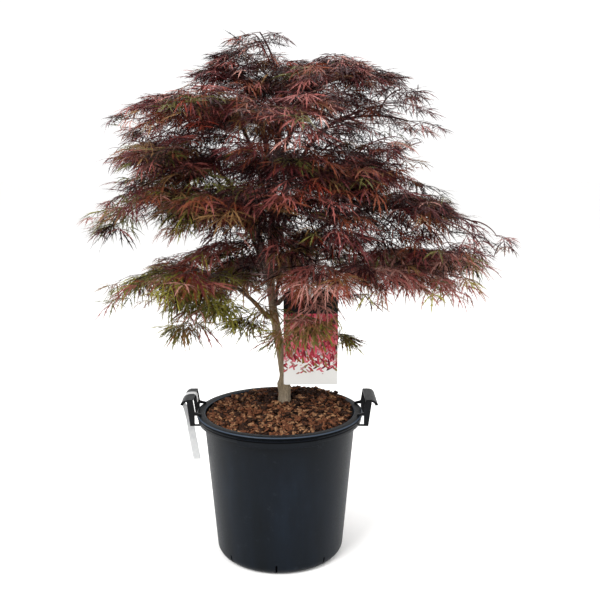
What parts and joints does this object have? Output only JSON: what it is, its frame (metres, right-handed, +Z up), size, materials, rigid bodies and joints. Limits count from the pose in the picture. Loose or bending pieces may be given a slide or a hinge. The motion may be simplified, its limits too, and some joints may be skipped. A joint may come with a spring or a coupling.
{
  "type": "potted japanese maple",
  "caption": "Small layered maple on a slim leaning trunk, its finely cut leaves drooping in tiers, planted in a tapered nursery pot with clip-on side handles and bark mulch.",
  "frame": {"origin": "centre of the pot's flat underside, on the ground", "axes": "+Z up along the plant's height, -Y towards the front, +X to the right, so that the clip-on handles lie at plus and minus X"},
  "size_m": [1.0685, 0.9356, 1.2294],
  "materials": {
    "pot_plastic": "matt moulded polypropylene",
    "handle_plastic": "matt moulded polypropylene",
    "mulch": "loose chips of bark",
    "bark": "smooth grey-brown bark",
    "wine_leaf": "thin matt leaf, wine red",
    "bronze_leaf": "thin matt leaf, bronze",
    "green_leaf": "thin matt leaf, turning green",
    "tag_card": "printed plastic card",
    "white_strip": "white plastic strip"
  },
  "bodies": {
    "root": {"pot": "pot_plastic", "handle_right": "handle_plastic", "handle_left": "handle_plastic", "bark_mulch": "mulch", "trunk": "bark", "bough_crest_1": "bark", "bough_crest_2": "bark", "bough_crest_3": "bark", "bough_lower_1": "bark", "bough_lower_2": "bark", "bough_lower_3": "bark", "bough_middle_1": "bark", "bough_middle_2": "bark", "bough_middle_3": "bark", "bough_skirt_1": "bark", "bough_skirt_2": "bark", "bough_skirt_3": "bark", "bough_upper_1": "bark", "bough_upper_2": "bark", "bough_upper_3": "bark", "mass_crest_1a": "wine_leaf", "mass_crest_2a": "wine_leaf", "mass_crest_2b": "wine_leaf", "mass_crest_3a": "wine_leaf", "mass_lower_1a": "bronze_leaf", "mass_lower_1b": "bronze_leaf", "mass_lower_1c": "wine_leaf", "mass_lower_2a": "wine_leaf", "mass_lower_2b": "wine_leaf", "mass_lower_2c": "wine_leaf", "mass_lower_3a": "bronze_leaf", "mass_lower_3b": "bronze_leaf", "mass_lower_3c": "bronze_leaf", "mass_middle_1a": "wine_leaf", "mass_middle_1b": "wine_leaf", "mass_middle_1c": "wine_leaf", "mass_middle_2a": "wine_leaf", "mass_middle_2b": "wine_leaf", "mass_middle_2c": "wine_leaf", "mass_middle_3a": "wine_leaf", "mass_middle_3b": "wine_leaf", "mass_skirt_1a": "green_leaf", "mass_skirt_1b": "green_leaf", "mass_skirt_1c": "green_leaf", "mass_skirt_2a": "wine_leaf", "mass_skirt_2b": "wine_leaf", "mass_skirt_2c": "wine_leaf", "mass_skirt_3a": "wine_leaf", "mass_skirt_3b": "bronze_leaf", "mass_top": "wine_leaf", "mass_upper_1a": "wine_leaf", "mass_upper_1b": "wine_leaf", "mass_upper_2a": "wine_leaf", "mass_upper_2b": "wine_leaf", "mass_upper_3a": "wine_leaf", "mass_upper_3b": "wine_leaf", "plant_tag": "tag_card", "tag_strap": "white_strip", "strip_label": "white_strip"}
  },
  "joints": []
}
